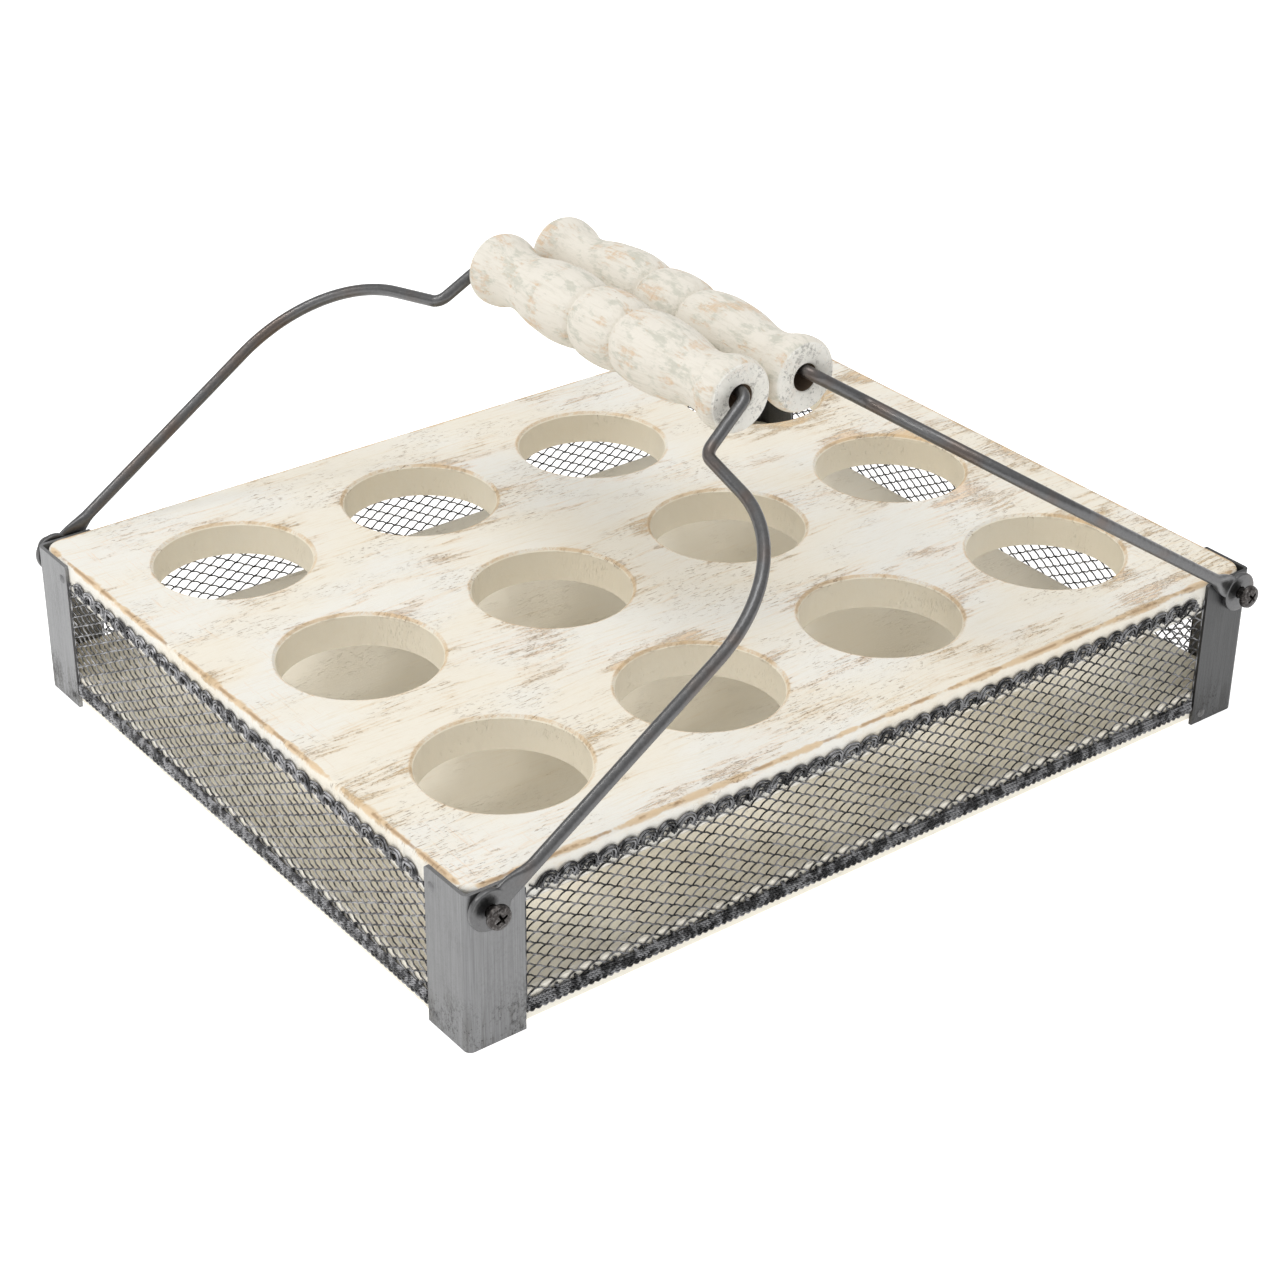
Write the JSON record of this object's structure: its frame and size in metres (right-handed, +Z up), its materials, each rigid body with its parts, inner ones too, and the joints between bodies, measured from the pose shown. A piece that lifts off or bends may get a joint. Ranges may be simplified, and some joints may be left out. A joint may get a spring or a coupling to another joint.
{
  "type": "egg holder tray",
  "caption": "Whitewashed wooden egg tray with wire netting sides, steel corner brackets and folding bail handles with turned wooden grips.",
  "frame": {"origin": "centre of the tray on the surface it stands on, at the lower edges of the corner brackets", "axes": "+X along the long side towards the right-hand handle's pivots, +Y across the tray from the front long side to the back one, +Z up"},
  "size_m": [0.253, 0.2148, 0.1212],
  "materials": {
    "painted_wood": "whitewashed, distressed, with tan worn edges",
    "grip_wood": "whitewashed turned wood with grey speckled end grain",
    "bracket_steel": "satin bare steel with dark mottling",
    "netting_wire": "dark galvanised wire",
    "handle_steel": "dark oiled steel",
    "screw_steel": "blackened steel",
    "nail_steel": "dull grey steel"
  },
  "bodies": {
    "tray": {"top_board": "painted_wood", "bottom_board": "painted_wood", "bracket_front_left": "bracket_steel", "bracket_front_right": "bracket_steel", "bracket_back_left": "bracket_steel", "bracket_back_right": "bracket_steel", "netting_front": "netting_wire", "netting_back": "netting_wire", "netting_left": "netting_wire", "netting_right": "netting_wire", "pivot_screw_front_left": "screw_steel", "pivot_screw_front_right": "screw_steel", "pivot_screw_back_left": "screw_steel", "pivot_screw_back_right": "screw_steel", "nails_long_sides": "nail_steel", "nails_short_sides_upper": "nail_steel", "nails_short_sides_lower": "nail_steel"},
    "handle_left": {"handle_wire_left": "handle_steel"},
    "handle_right": {"handle_wire_right": "handle_steel"},
    "grip_left": {"grip_left": "grip_wood"},
    "grip_right": {"grip_right": "grip_wood"}
  },
  "joints": [
    {"name": "handle_left", "type": "hinge", "parent": "tray", "child": "handle_left", "pos_m": [-0.1205, 0, 0.0385], "axis": [0, -1, 0], "range_deg": [0, 155]},
    {"name": "handle_right", "type": "hinge", "parent": "tray", "child": "handle_right", "pos_m": [0.1205, 0, 0.0385], "axis": [0, 1, 0], "range_deg": [0, 155]},
    {"name": "grip_left_spin", "type": "hinge", "parent": "handle_left", "child": "grip_left", "pos_m": [-0.01015, 0, 0.1112], "axis": [0, 1, 0], "continuous": true},
    {"name": "grip_right_spin", "type": "hinge", "parent": "handle_right", "child": "grip_right", "pos_m": [0.01015, 0, 0.1112], "axis": [0, 1, 0], "continuous": true}
  ]
}
